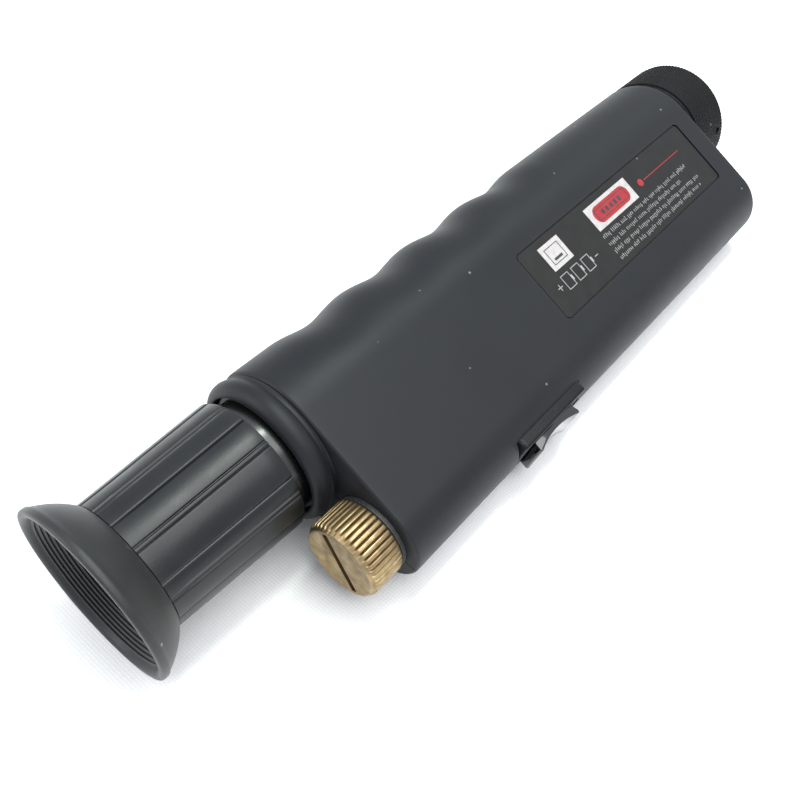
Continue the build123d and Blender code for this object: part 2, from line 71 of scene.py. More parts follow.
# ---- driving dimensions, in millimetres and degrees ----
flank_angle = 13.0
tube_r = 15.2
small_offset = 24.9
wall = 2.2
seam_gap = 0.2
optical_bore = 12.62
near_edge_r, far_edge_r = 0.7, 1.3
battery_offset = 23.9
battery_hole_r = 7.6
switch_station = 83.9
switch_seat = 31.9
groove_depth = 1.15
groove_pitch = 19.4
first_crest = 52.2
groove_count = 4
groove_full, groove_gone = 6.0, 26.0
label_start, label_length = 102.2, 68.8
label_top, label_height = 2.5, 16.8
label_recess = 0.5
label_gap, label_corner_r = 0.3, 1.2
screw_stations = (71.8, 99.2, 172.2)

# ---- directions and places taken from the frame ----
tilt = radians(flank_angle)
across = Vector((0, cos(tilt), sin(tilt)))
upward = Vector((0, -sin(tilt), cos(tilt)))
flank_out = Vector((0, -sin(2 * tilt), cos(2 * tilt)))
flank_down = Vector((0, -cos(2 * tilt), -sin(2 * tilt)))
rim_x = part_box("eyecup")[0].x
small_r = tube_r - small_offset * sin(tilt)


def station_of(x):
    """The station of a world x, in millimetres."""
    return (x - rim_x) / MM


body_start = station_of(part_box("housing_upper")[0].x)
body_end = station_of(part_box("housing_upper")[1].x)
ring_start = station_of(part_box("focus_ring")[0].x)
ring_end = station_of(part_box("focus_ring")[1].x)
knob_start = station_of(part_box("battery_cap")[0].x)
sleeve_rear = station_of(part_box("eyepiece_sleeve")[1].x)


def place(station, y, z):
    """A point in the section frame, in metres: y across the body, z up the section."""
    return Vector((rim_x + station * MM, 0, 0)) + across * (y * MM) + upward * (z * MM)


def on_flank(station, down, height):
    """A point on the upper flank: down from the tube side's tangent line, height above the skin."""
    out = flank_out * ((tube_r + height) * MM)
    return Vector((rim_x + station * MM, 0, 0)) + out + flank_down * (down * MM)


# =============================== materials ===============================
dust_cells = 260.0
dust_color = (0.45, 0.45, 0.42)


def ramp(nodes, links, source, low, high, out_low, out_high):
    """Maps source from low..high to out_low..out_high, clamped."""
    node = nodes.new("ShaderNodeMapRange")
    node.clamp = True
    for socket, value in zip(("From Min", "From Max", "To Min", "To Max"),
                             (low, high, out_low, out_high)):
        node.inputs[socket].default_value = value
    links.new(source, node.inputs["Value"])
    return node.outputs["Result"]


def finish(name, color, color_2, rough=(0.4, 0.5), grain=2500.0, grain_depth=0.01, metallic=0.0,
           cloud=120.0, dust=0.0, edge_wear_and_highlight=0.0, edge_wear_and_highlight_color=(0.3, 0.3, 0.3), brushed=None,
           settings=None):
    """A procedural finish: clouded colour and roughness, grain, dust specks, and edges lightened by
    pointiness, which is rubbed wear and, on the soft-touch plastic, also a painted highlight along
    the edges.

    grain and cloud are noise scales per metre; grain_depth is the grain's height in millimetres;
    brushed is (noise scale, squeeze per axis) for brushing lines; settings are shader sockets."""
    material = bpy.data.materials.new(name)
    material.use_nodes = True
    nodes, links = material.node_tree.nodes, material.node_tree.links
    shader = nodes["Principled BSDF"]
    coords = nodes.new("ShaderNodeTexCoord")

    clouds = nodes.new("ShaderNodeTexNoise")
    clouds.inputs["Scale"].default_value = cloud
    clouds.inputs["Detail"].default_value = 6.0
    clouds.inputs["Roughness"].default_value = 0.6
    links.new(coords.outputs["Object"], clouds.inputs["Vector"])
    fine = nodes.new("ShaderNodeTexNoise")
    fine.inputs["Scale"].default_value = grain
    fine.inputs["Detail"].default_value = 3.0
    links.new(coords.outputs["Object"], fine.inputs["Vector"])

    tone = nodes.new("ShaderNodeMix")
    tone.data_type = "RGBA"
    tone.inputs["A"].default_value = (*color, 1)
    tone.inputs["B"].default_value = (*color_2, 1)
    links.new(ramp(nodes, links, clouds.outputs["Fac"], 0.35, 0.65, 0, 1), tone.inputs["Factor"])
    tint = tone.outputs["Result"]
    roughness = ramp(nodes, links, clouds.outputs["Fac"], 0.3, 0.7, *rough)

    # Edges lightened by pointiness: rubbed wear on every finish, and on the soft-touch plastic also
    # a painted highlight along the edges.
    if edge_wear_and_highlight:
        geometry = nodes.new("ShaderNodeNewGeometry")
        edge = ramp(nodes, links, geometry.outputs["Pointiness"], 0.52, 0.60, 0, edge_wear_and_highlight)
        broken = nodes.new("ShaderNodeMath")
        broken.operation = "MULTIPLY"
        links.new(edge, broken.inputs[0])
        links.new(ramp(nodes, links, fine.outputs["Fac"], 0.4, 0.6, 0.3, 1), broken.inputs[1])
        worn_and_highlit = nodes.new("ShaderNodeMix")
        worn_and_highlit.data_type = "RGBA"
        worn_and_highlit.inputs["B"].default_value = (*edge_wear_and_highlight_color, 1)
        links.new(broken.outputs["Value"], worn_and_highlit.inputs["Factor"])
        links.new(tint, worn_and_highlit.inputs["A"])
        tint = worn_and_highlit.outputs["Result"]

    if dust:
        cells = nodes.new("ShaderNodeTexVoronoi")
        cells.inputs["Scale"].default_value = dust_cells
        links.new(coords.outputs["Object"], cells.inputs["Vector"])
        speck = ramp(nodes, links, cells.outputs["Distance"], 0.05, 0.09, 1, 0)
        chosen = nodes.new("ShaderNodeSeparateColor")
        links.new(cells.outputs["Color"], chosen.inputs["Color"])
        some = ramp(nodes, links, chosen.outputs["Red"], 0.86, 0.9, 0, dust)
        amount = nodes.new("ShaderNodeMath")
        amount.operation = "MULTIPLY"
        links.new(speck, amount.inputs[0])
        links.new(some, amount.inputs[1])
        dusty = nodes.new("ShaderNodeMix")
        dusty.data_type = "RGBA"
        dusty.inputs["B"].default_value = (*dust_color, 1)
        links.new(amount.outputs["Value"], dusty.inputs["Factor"])
        links.new(tint, dusty.inputs["A"])
        tint = dusty.outputs["Result"]

    links.new(tint, shader.inputs["Base Color"])
    links.new(roughness, shader.inputs["Roughness"])
    shader.inputs["Metallic"].default_value = metallic
    for socket, value in (settings or {}).items():
        shader.inputs[socket].default_value = value

    height = fine.outputs["Fac"]
    if brushed:
        scale, direction = brushed
        lines = nodes.new("ShaderNodeTexNoise")
        lines.inputs["Scale"].default_value = scale
        lines.inputs["Detail"].default_value = 2.0
        squeeze = nodes.new("ShaderNodeMapping")
        squeeze.inputs["Scale"].default_value = direction
        links.new(coords.outputs["Object"], squeeze.inputs["Vector"])
        links.new(squeeze.outputs["Vector"], lines.inputs["Vector"])
        both = nodes.new("ShaderNodeMath")
        both.operation = "ADD"
        links.new(height, both.inputs[0])
        links.new(lines.outputs["Fac"], both.inputs[1])
        height = both.outputs["Value"]
    bump = nodes.new("ShaderNodeBump")
    bump.inputs["Strength"].default_value = 1.0
    bump.inputs["Distance"].default_value = grain_depth * MM
    links.new(height, bump.inputs["Height"])
    links.new(bump.outputs["Normal"], shader.inputs["Normal"])
    return material


# The lighter edges of the soft-touch plastic are partly rubbed wear and partly a painted highlight
# along the edges.
soft_touch = finish(
    "soft_touch_plastic", (0.0056, 0.0068, 0.0094), (0.0078, 0.0090, 0.0112), rough=(0.44, 0.56),
    grain=3500, grain_depth=0.010, cloud=45, dust=0.35, edge_wear_and_highlight=0.25, edge_wear_and_highlight_color=(0.04, 0.04, 0.045),
    settings={"Sheen Weight": 0.05, "Sheen Roughness": 0.4, "Specular IOR Level": 0.30},
)
sleeve_plastic = finish(
    "sleeve_plastic", (0.0046, 0.0058, 0.0070), (0.0070, 0.0084, 0.0094), rough=(0.30, 0.42),
    grain=2600, grain_depth=0.015, cloud=90, dust=0.3, edge_wear_and_highlight=0.3, edge_wear_and_highlight_color=(0.05, 0.05, 0.05),
    settings={"Specular IOR Level": 0.42},
)
eyecup_rubber = finish(
    "eyecup_rubber", (0.0056, 0.0066, 0.0073), (0.0092, 0.0104, 0.0108), rough=(0.42, 0.55),
    grain=3000, grain_depth=0.02, cloud=150, dust=0.4, edge_wear_and_highlight=0.5, edge_wear_and_highlight_color=(0.07, 0.07, 0.07),
    settings={"Sheen Weight": 0.08, "Sheen Roughness": 0.5},
)
brass = finish(
    "brass", (0.42, 0.31, 0.165), (0.25, 0.18, 0.095), rough=(0.36, 0.52), metallic=1.0,
    grain=5000, grain_depth=0.006, cloud=500, edge_wear_and_highlight=0.5, edge_wear_and_highlight_color=(0.62, 0.52, 0.36),
    brushed=(900, (1, 1, 14)),
)
black_metal = finish(
    "black_metal", (0.0045, 0.0045, 0.0050), (0.0075, 0.0075, 0.0078), rough=(0.44, 0.56),
    grain=4200, grain_depth=0.01, cloud=260, dust=0.3, edge_wear_and_highlight=0.35, edge_wear_and_highlight_color=(0.08, 0.08, 0.08),
    settings={"Specular IOR Level": 0.13},
)
polished_tube = finish(
    "polished_tube", (0.004, 0.005, 0.0045), (0.006, 0.007, 0.0065), rough=(0.23, 0.28),
    grain=4000, grain_depth=0.0004, cloud=200, settings={"Specular IOR Level": 0.9},
)
tube_metal = finish(
    "tube_metal", (0.05, 0.05, 0.052), (0.075, 0.075, 0.078), rough=(0.3, 0.42), metallic=0.9,
    grain=3500, grain_depth=0.006, cloud=220, brushed=(2200, (10, 1, 1)),
)
bright_metal = finish(
    "bright_metal", (0.52, 0.52, 0.51), (0.42, 0.42, 0.42), rough=(0.24, 0.36), metallic=1.0,
    grain=3500, grain_depth=0.005, cloud=300, brushed=(2400, (10, 1, 1)),
)
steel = finish(
    "steel", (0.40, 0.40, 0.41), (0.30, 0.30, 0.31), rough=(0.26, 0.4), metallic=1.0,
    grain=4000, grain_depth=0.006, cloud=700, edge_wear_and_highlight=0.4, edge_wear_and_highlight_color=(0.62, 0.62, 0.62),
)
switch_plastic = finish(
    "switch_plastic", (0.0024, 0.0026, 0.0042), (0.0040, 0.0042, 0.0058), rough=(0.40, 0.50),
    grain=4200, grain_depth=0.008, cloud=240, dust=0.3, edge_wear_and_highlight=0.4, edge_wear_and_highlight_color=(0.10, 0.10, 0.10),
    settings={"Specular IOR Level": 0.18},
)
rocker_plastic = finish(
    "rocker_plastic", (0.0030, 0.0030, 0.0042), (0.0050, 0.0048, 0.0058), rough=(0.08, 0.15),
    grain=3200, grain_depth=0.003, cloud=240, dust=0.2,
    settings={"Coat Weight": 0.9, "Coat Roughness": 0.08, "Specular IOR Level": 0.5},
)
label_film = finish(
    "label_film", (0.0082, 0.0080, 0.0078), (0.0120, 0.0116, 0.0112), rough=(0.46, 0.56),
    grain=2600, grain_depth=0.012, cloud=320, dust=0.4,
    settings={"Specular IOR Level": 0.30},
)
print_white = finish(
    "print_white", (0.50, 0.47, 0.46), (0.40, 0.375, 0.375), rough=(0.42, 0.55),
    grain=3000, grain_depth=0.006, cloud=900,
)
print_grey = finish(
    "print_grey", (0.36, 0.35, 0.35), (0.24, 0.24, 0.24), rough=(0.45, 0.6),
    grain=3000, grain_depth=0.006, cloud=1600,
)
print_red = finish(
    "print_red", (0.34, 0.012, 0.020), (0.26, 0.009, 0.016), rough=(0.42, 0.55),
    grain=3000, grain_depth=0.006, cloud=700,
)
glass = finish(
    "lens_glass", (0.92, 0.96, 0.94), (0.90, 0.94, 0.95), rough=(0.01, 0.03),
    grain=500, grain_depth=0.0005, cloud=60,
    settings={"Transmission Weight": 1.0, "IOR": 1.52, "Coat Weight": 0.4},
)
filter_glass = finish(
    "filter_glass", (0.35, 0.75, 0.62), (0.30, 0.68, 0.58), rough=(0.02, 0.05),
    grain=500, grain_depth=0.0005, cloud=60, settings={"Transmission Weight": 1.0, "IOR": 1.5},
)
board_green = finish(
    "board_green", (0.015, 0.09, 0.035), (0.02, 0.12, 0.05), rough=(0.3, 0.45),
    grain=1800, grain_depth=0.01, cloud=500,
)
chip_black = finish(
    "chip_black", (0.02, 0.02, 0.022), (0.035, 0.035, 0.036), rough=(0.45, 0.6),
    grain=3000, grain_depth=0.01, cloud=800,
)
wire_red = finish(
    "wire_red", (0.50, 0.02, 0.02), (0.36, 0.015, 0.015), rough=(0.35, 0.5),
    grain=2500, grain_depth=0.01, cloud=600,
)
wire_black = finish(
    "wire_black", (0.02, 0.02, 0.02), (0.04, 0.04, 0.04), rough=(0.35, 0.5),
    grain=2500, grain_depth=0.01, cloud=600,
)

slot_finish = {
    "eyecup_rubber": eyecup_rubber, "seal_rubber": eyecup_rubber, "sleeve_plastic": sleeve_plastic,
    "tube_metal": polished_tube, "inner_tube": tube_metal, "black_metal": black_metal,
    "lens_glass": glass, "filter_glass": filter_glass, "housing_plastic": soft_touch,
    "steel_screw": steel, "bushing_metal": bright_metal, "brass": brass, "ring_metal": black_metal,
    "adapter_metal": bright_metal, "spring_steel": steel, "cell_steel": bright_metal,
    "switch_plastic": switch_plastic, "rocker_plastic": rocker_plastic, "board": board_green,
    "led_lens": glass, "chip_plastic": chip_black, "wire_red": wire_red,
    "wire_black": wire_black, "label_film": label_film,
}
node_slot = {part["node"]: part["material_slot"] for part in frame["record"]["subparts"]}
for node, obj in frame["nodes"].items():
    chosen = slot_finish[node_slot[node]]
    obj.data.materials.clear()
    obj.data.materials.append(chosen)


# =============================== mesh helpers ===============================
def piece(name, bm, material, body, replaced=(), sharp=32.0, smooth=True):
    """Makes the bmesh a piece of the object that rides on a body and stands for CAD nodes."""
    bmesh.ops.remove_doubles(bm, verts=bm.verts, dist=1e-7)
    bmesh.ops.recalc_face_normals(bm, faces=bm.faces)
    mesh = bpy.data.meshes.new(name)
    bm.to_mesh(mesh)
    bm.free()
    if smooth:
        mesh.shade_smooth()
        mesh.set_sharp_from_angle(angle=radians(sharp))
    mesh.materials.append(material)
    obj = bpy.data.objects.new(name, mesh)
    bpy.context.scene.collection.objects.link(obj)
    if body:
        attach(obj, body)
        if replaced:
            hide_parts(*replaced)
    return obj


def lathe(profile, segments, centre=0.0, relief=None, caps=False):
    """A turned form about an axis along X. profile lists (station, radius, relief share) round a
    closed outline, or an open one with flat caps; relief(angle, station) is taken off the
    radius."""
    bm = bmesh.new()
    rings = []
    for station, radius, share in profile:
        ring = []
        for i in range(segments):
            angle = 2 * pi * i / segments
            r = radius - (share * relief(angle, station) if share else 0.0)
            ring.append(bm.verts.new(place(station, centre + r * cos(angle), r * sin(angle))))
        rings.append(ring)
    pairs = list(zip(rings, rings[1:]))
    if not caps:
        pairs.append((rings[-1], rings[0]))
    for a, b in pairs:
        for i in range(segments):
            j = (i + 1) % segments
            bm.faces.new((a[i], a[j], b[j], b[i]))
    if caps:
        bm.faces.new(rings[0])
        bm.faces.new(rings[-1])
    return bm


def box_form(corners):
    """A closed six-sided form from its four lower and four upper corners, each in ring order."""
    bm = bmesh.new()
    verts = [bm.verts.new(p) for p in corners]
    bm.faces.new(verts[:4])
    bm.faces.new(verts[4:])
    for i in range(4):
        j = (i + 1) % 4
        bm.faces.new((verts[i], verts[j], verts[4 + j], verts[4 + i]))
    return bm


def section_box(s0, s1, y0, y1, z0, z1):
    """A box in the section frame."""
    return box_form([place(s, y, z) for z in (z0, z1) for s, y in
                     ((s0, y0), (s1, y0), (s1, y1), (s0, y1))])


def prism(outline, low, high, where):
    """Extrudes a flat outline of (a, b) points between two heights, placed by
    where(a, b, height)."""
    bm = bmesh.new()
    lower = [bm.verts.new(where(a, b, low)) for a, b in outline]
    upper = [bm.verts.new(where(a, b, high)) for a, b in outline]
    bm.faces.new(lower)
    bm.faces.new(upper)
    for i in range(len(outline)):
        j = (i + 1) % len(outline)
        bm.faces.new((lower[i], lower[j], upper[j], upper[i]))
    return bm


def circle(x, y, r, steps):
    """The outline of a circle."""
    return [(x + r * cos(2 * pi * i / steps), y + r * sin(2 * pi * i / steps))
            for i in range(steps)]


def rounded_rectangle(x0, x1, y0, y1, r, steps=6):
    """The outline of a rectangle with round corners."""
    points = []
    for cx, cy, start in ((x1 - r, y1 - r, 0), (x0 + r, y1 - r, 90), (x0 + r, y0 + r, 180),
                          (x1 - r, y0 + r, 270)):
        for i in range(steps + 1):
            angle = radians(start + 90 * i / steps)
            points.append((cx + r * cos(angle), cy + r * sin(angle)))
    return points


def bare_object(name, bm):
    """An object that isn't a piece, for use as a cutter."""
    bmesh.ops.recalc_face_normals(bm, faces=bm.faces)
    mesh = bpy.data.meshes.new(name)
    bm.to_mesh(mesh)
    bm.free()
    return bpy.data.objects.new(name, mesh)


def apply_modifiers(obj):
    """Replaces the object's mesh with its modified form."""
    bpy.context.view_layer.update()
    evaluated = obj.evaluated_get(bpy.context.evaluated_depsgraph_get())
    mesh = bpy.data.meshes.new_from_object(evaluated)
    obj.modifiers.clear()
    obj.data = mesh


def carve(obj, cutters):
    """Takes the cutters' union out of obj, then removes the cutters."""
    group = bpy.data.collections.new(obj.name + "_cutters")
    for i, bm in enumerate(cutters):
        group.objects.link(bare_object(f"{obj.name}_cutter_{i}", bm))
    modifier = obj.modifiers.new("carve", "BOOLEAN")
    modifier.operation = "DIFFERENCE"
    modifier.operand_type = "COLLECTION"
    modifier.collection = group
    modifier.solver = "EXACT"
    apply_modifiers(obj)
    for cutter in list(group.objects):
        bpy.data.objects.remove(cutter)
    bpy.data.collections.remove(group)
    return obj


# =============================== body shells ===============================
def fade(value, start, end):
    """1 before start, 0 after end, smooth between them."""
    t = min(max((value - start) / (end - start), 0.0), 1.0)
    return 1 - t * t * (3 - 2 * t)


def groove(station):
    """Depth of the finger grooves at a station, from 0 at a crest to 1 at a valley."""
    t = (station - first_crest) / groove_pitch
    return 0.5 - 0.5 * cos(2 * pi * t) if 0 < t < groove_count else 0.0


tube_steps, flank_steps, small_steps = 104, 20, 44
turn = 90 + flank_angle


def skin_loop(station, inset, grooved=True):
    """The body's section at a station as (y, z) points, shrunk by inset all round."""
    loop = []
    depth = groove_depth * groove(station) if grooved else 0.0
    for i in range(tube_steps + 1):
        angle = radians(-turn + 2 * turn * i / tube_steps)
        lost = depth * fade(abs(angle) * tube_r, groove_full, groove_gone)
        r = tube_r - inset - lost
        loop.append((r * cos(angle), r * sin(angle)))
    top = radians(turn)
    for side, order in ((1, range(1, flank_steps)), (-1, range(flank_steps - 1, 0, -1))):
        if side < 0:
            for i in range(small_steps + 1):
                angle = top + (2 * pi - 2 * top) * i / small_steps
                r = small_r - inset
                loop.append((-small_offset + r * cos(angle), r * sin(angle)))
        for i in order:
            t = i / flank_steps
            r = (tube_r - inset) * (1 - t) + (small_r - inset) * t
            y = -small_offset * t + r * cos(top)
            loop.append((y, side * r * sin(top)))
    return loop


def fillet_stations(start, end, near_r, far_r, step):
    """(station, inset) pairs along the body, with rounded ends."""
    pairs = []
    quarter = 7
    for i in range(quarter + 1):
        a = pi / 2 * i / quarter
        pairs.append((start + near_r * (1 - cos(a)), near_r * (1 - sin(a))))
    count = ceil((end - far_r - start - near_r) / step)
    for i in range(1, count):
        pairs.append((start + near_r + (end - far_r - start - near_r) * i / count, 0.0))
    for i in range(quarter + 1):
        a = pi / 2 * i / quarter
        pairs.append((end - far_r * (1 - sin(a)), far_r * (1 - cos(a))))
    return pairs


def loft(pairs, grooved=True):
    """A closed form through the body's sections at (station, inset) pairs."""
    bm = bmesh.new()
    rings = [[bm.verts.new(place(s, y, z)) for y, z in skin_loop(s, inset, grooved)]
             for s, inset in pairs]
    for a, b in zip(rings, rings[1:]):
        for i in range(len(a)):
            j = (i + 1) % len(a)
            bm.faces.new((a[i], a[j], b[j], b[i]))
    bm.faces.new(rings[0])
    bm.faces.new(rings[-1])
    return bm


def plain_cylinder(s0, s1, r, centre=0.0, segments=96):
    """A closed cylinder along the body, between two stations."""
    return lathe([(s0, r, 0), (s1, r, 0)], segments, centre=centre, caps=True)


bezel_length = 21.0
bezel_start = switch_station - bezel_length / 2
switch_well_half, switch_well_r = 9.4, 5.6
far_side = 60.0
end_wall = 1.6
screw_well_r, screw_well_depth = 2.05, 2.4
section_step = 1.3
skin = fillet_stations(body_start, body_end, near_edge_r, far_edge_r, section_step)
label_outline = rounded_rectangle(
    label_start - label_gap, label_start + label_length + label_gap,
    label_top - label_gap, label_top + label_height + label_gap, label_corner_r)


def seam_side(side):
    """A large box that covers everything on the other side of the seam."""
    edge = side * seam_gap / 2
    return section_box(body_start - 5, body_end + 5, -far_side, far_side,
                       min(edge, -side * far_side), max(edge, -side * far_side))


def shell_cutters(side):
    """What is cut out of a shell: the cavity, the bores, the switch's seat and well, the other
    half, and the label's recess above or the screw wells below."""
    start, end = body_start + end_wall, body_end - end_wall
    cavity = loft([(start, wall + 0.6), (start + 1.4, wall), (end - 1.4, wall), (end, wall + 0.6)],
                  grooved=False)
    cutters = [
        cavity,
        plain_cylinder(body_start - 3, body_end + 3, optical_bore + 0.03),
        plain_cylinder(body_start - 3, body_start + 3, battery_hole_r, centre=-battery_offset),
        section_box(bezel_start - 0.6, bezel_start + bezel_length + 0.2,
                    -far_side, -switch_seat, -20.0, 20.0),
        section_box(switch_station - switch_well_half, switch_station + switch_well_half,
                    -switch_seat - 1, -switch_seat + 5, -switch_well_r, switch_well_r),
        seam_side(side),
    ]
    if side > 0:
        cutters.append(prism(label_outline, -label_recess, 3.0, on_flank))
    else:
        for station in screw_stations:
            cutters.append(prism(
                circle(0, 0, screw_well_r, 40), -small_r + screw_well_depth, -small_r - 3.0,
                lambda a, b, h, s=station: place(s + a, -battery_offset + b, h)))
    return cutters


for name, side in (("housing_upper", 1), ("housing_lower", -1)):
    shell = piece(name + "_shell", loft(skin), soft_touch, None)
    carve(shell, shell_cutters(side))
    shell.data.shade_smooth()
    shell.data.set_sharp_from_angle(angle=radians(28))
    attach(shell, "housing")
    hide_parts(name)

# =============================== eyecup ===============================
cup_ridges = 8
cup_profile = [(0.0, 16.6, 0), (0.0, 17.1, 0), (0.08, 17.35, 0), (0.22, 17.52, 0),
               (0.45, 17.6, 0), (1.1, 17.6, 0), (1.4, 17.52, 0), (1.7, 17.25, 0)]
bell_front, bell_bend, bell_rear = (1.7, 17.25), (5.2, 15.6), (7.22, 13.02)
for i in range(1, 13):
    t = i / 12
    s, r = ((1 - t) ** 2 * bell_front[k] + 2 * t * (1 - t) * bell_bend[k] + t * t * bell_rear[k]
            for k in (0, 1))
    cup_profile.append((s, r, 0))
cup_profile += [(7.28, 12.92, 0), (7.28, 12.56, 0), (5.5, 12.56, 0), (5.5, 11.4, 0),
                (5.2, 11.4, 0)]
cone_start, cone_end = (5.2, 11.6), (0.8, 15.6)
ridge_depth = 0.28
for i in range(cup_ridges):
    for part, dip in ((0.0, 0.0), (0.35, 0.0), (0.5, ridge_depth), (0.85, ridge_depth)):
        t = (i + part) / cup_ridges
        s = cone_start[0] + (cone_end[0] - cone_start[0]) * t
        r = cone_start[1] + (cone_end[1] - cone_start[1]) * t
        cup_profile.append((s + 0.7 * dip, r + 0.7 * dip, 0))
cup_profile += [(0.62, 15.8, 0), (0.3, 16.1, 0), (0.08, 16.35, 0)]
piece("eyecup_form", lathe(cup_profile, 160), eyecup_rubber, "eyepiece_grip",
      ["eyecup"], sharp=40)

# =============================== collar ring ===============================
collar_front, collar_rear = (station_of(corner.x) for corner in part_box("collar_ring"))
bead_half, bead_r = 2.35, 1.9
recess_r, recess_end = 13.05, 41.0
skirt_front, skirt_front_r, skirt_rear_r = 41.85, 14.62, 14.85
bead_station, bead_centre_r = collar_front + bead_half, tube_r - bead_r
collar_profile = [(collar_rear, optical_bore, 0), (collar_rear, skirt_rear_r, 0),
                  (skirt_front, skirt_front_r, 0)]
for i in range(21):
    angle = radians(42 + 138 * i / 20)
    collar_profile.append((bead_station + bead_half * cos(angle),
                           bead_centre_r + bead_r * sin(angle), 0))
collar_profile += [(collar_front + 0.1, recess_r + 0.05, 0), (collar_front + 0.3, recess_r, 0),
                   (recess_end, recess_r, 0), (recess_end, optical_bore, 0)]
piece("collar_bead", lathe(collar_profile, 144), soft_touch, "housing",
      ["collar_ring"])

# =============================== ribbed sleeve ===============================
rib_angles = (12, 57, 101.6, 147, 192, 237, 282, 327)
step_angles = (33, 77, 131.6, 170, 212, 257, 302, 347)
marks = sorted([(a, "rib") for a in rib_angles] + [(a, "step") for a in step_angles])
panel_crown, panel_step = 0.10, 0.16
rib_grooves, rib_groove_width = ((-2.4, 0.34), (1.9, 0.22)), 0.75
step_groove_depth, step_groove_width = 0.20, 0.8


def sleeve_relief(angle, station):
    """Depth taken off the sleeve at an angle: crowned panels, narrow ribs between two grooves, and
    steps where one panel stands above the next."""
    a = degrees(angle) % 360
    depth = 0.0
    for i, (mark, kind) in enumerate(marks):
        following = marks[(i + 1) % len(marks)][0]
        width = (following - mark) % 360
        inside = (a - mark) % 360
        if inside < width:
            t = inside / width
            depth += panel_crown * (2 * t - 1) ** 2
            if kind == "step":
                depth += panel_step * (1 - t)
        off = (a - mark + 180) % 360 - 180
        if kind == "rib":
            for centre, deep in rib_grooves:
                depth += deep * exp(-((off - centre) / rib_groove_width) ** 2)
        else:
            depth += step_groove_depth * exp(-(off / step_groove_width) ** 2)
    return max(depth, 0.0)


sleeve_front, sleeve_rear_r, sleeve_front_r = 7.3, 13.9, 12.9
sleeve_bore, neck_r, neck_start = 11.95, 12.5, 5.6
sleeve_profile = [(neck_start, sleeve_bore, 0), (neck_start, neck_r, 0),
                  (sleeve_front, neck_r, 0), (sleeve_front, 12.6, 0.2),
                  (sleeve_front + 0.15, sleeve_front_r, 0.6)]
for i in range(1, 12):
    t = i / 12
    s = sleeve_front + 0.15 + (sleeve_rear - 0.5 - sleeve_front) * t
    share = min(1.0, 0.6 + 2 * t)
    sleeve_profile.append((s, sleeve_front_r + (sleeve_rear_r - sleeve_front_r) * t, share))
sleeve_profile += [
    (sleeve_rear - 0.3, sleeve_rear_r, 1), (sleeve_rear - 0.08, sleeve_rear_r - 0.1, 0.9),
    (sleeve_rear, sleeve_rear_r - 0.35, 0.6), (sleeve_rear, 12.4, 0),
    (sleeve_rear - 0.3, sleeve_bore, 0),
]
piece("sleeve_form", lathe(sleeve_profile, 720, relief=sleeve_relief), sleeve_plastic,
      "eyepiece_grip", ["eyepiece_sleeve"], sharp=30)

# =============================== focus ring ===============================
knurl_count = 108
knurl_depth = 0.16
screw_station, screw_angle, screw_hole_r = 189.6, radians(148.5), 0.98
screw_hole_depth, screw_hole_land = 0.95, 0.25
ring_r, ring_bore = 15.1, 13.05
face_hole_r, face_start = 7.6, 190.8


def ring_relief(angle, station):
    """Diamond knurl, with the hole over the set screw."""
    a = angle * knurl_count / (2 * pi)
    b = station * knurl_count / (2 * pi * ring_r)
    waves = max(abs(2 * ((a + b) % 1.0) - 1), abs(2 * ((a - b) % 1.0) - 1))
    off = hypot(station - screw_station, (angle - screw_angle) * ring_r)
    if off < screw_hole_r:
        return screw_hole_depth
    return knurl_depth * waves ** 3 if off > screw_hole_r + screw_hole_land else 0.0


ring_profile = [(ring_start, ring_bore, 0), (ring_start, ring_r - 0.55, 0),
                (ring_start + 0.1, ring_r - 0.45, 0), (ring_start + 0.75, ring_r - 0.45, 0)]
ring_rows = 92
for i in range(ring_rows + 1):
    s = ring_start + 0.85 + (ring_end - ring_start - 1.5) * i / ring_rows
    ring_profile.append((s, ring_r, 1))
ring_profile += [(ring_end - 0.3, ring_r - 0.25, 0), (ring_end, ring_r - 0.6, 0),
                 (ring_end, face_hole_r + 0.2, 0), (ring_end - 0.2, face_hole_r, 0),
                 (face_start, face_hole_r, 0), (face_start, ring_bore, 0)]
piece("focus_ring_form", lathe(ring_profile, knurl_count * 7, relief=ring_relief), black_metal,
      "focus_ring", ["focus_ring"], sharp=45)

# =============================== battery cap ===============================
knob_teeth = 42
knob_r = 8.1
knob_rear = 41.2
groove_v_depth, crown_depth, groove_v_share = 0.6, 0.05, 0.42
thread_r, thread_root_r, thread_pitch = 6.85, 6.55, 0.65


def knob_relief(angle, station):
    """Rounded V-grooves of the coarse straight knurl."""
    t = abs(((angle * knob_teeth / (2 * pi)) % 1.0) - 0.5) * 2
    valley = (1 - min(t / groove_v_share, 1.0)) ** 0.8
    return groove_v_depth * valley + crown_depth * (1 - t) ** 2


knob_profile = [
    (knob_start + 0.06, 6.95, 0), (knob_start, 7.1, 0), (knob_start + 0.06, 7.4, 0),
    (knob_start + 0.5, 7.66, 0.1),
    (knob_start + 0.8, 7.9, 0.5), (knob_start + 1.15, 8.06, 0.9), (knob_start + 1.5, knob_r, 1),
    (knob_start + 4.5, knob_r, 1), (knob_rear - 0.5, knob_r, 1), (knob_rear - 0.2, 7.95, 0.7),
    (knob_rear, 7.6, 0.2), (knob_rear, thread_r, 0), (knob_rear + 5.2, thread_r, 0),
]
thread_turns = 6
thread = []
for i in range(thread_turns):
    base = knob_rear + 1.0 + i * thread_pitch
    thread += [(base, thread_r, 0), (base + 0.2, thread_root_r, 0), (base + 0.4, thread_r, 0)]
knob_profile[-1:-1] = thread
knob = piece("battery_cap_form",
             lathe(knob_profile, knob_teeth * 10, -battery_offset, knob_relief, caps=True),
             brass, None)
slot_turn = radians(43.5)
slot_half_length, slot_half_width, slot_depth = 6.7, 0.65, 1.6
cap_bore_r = 4.4


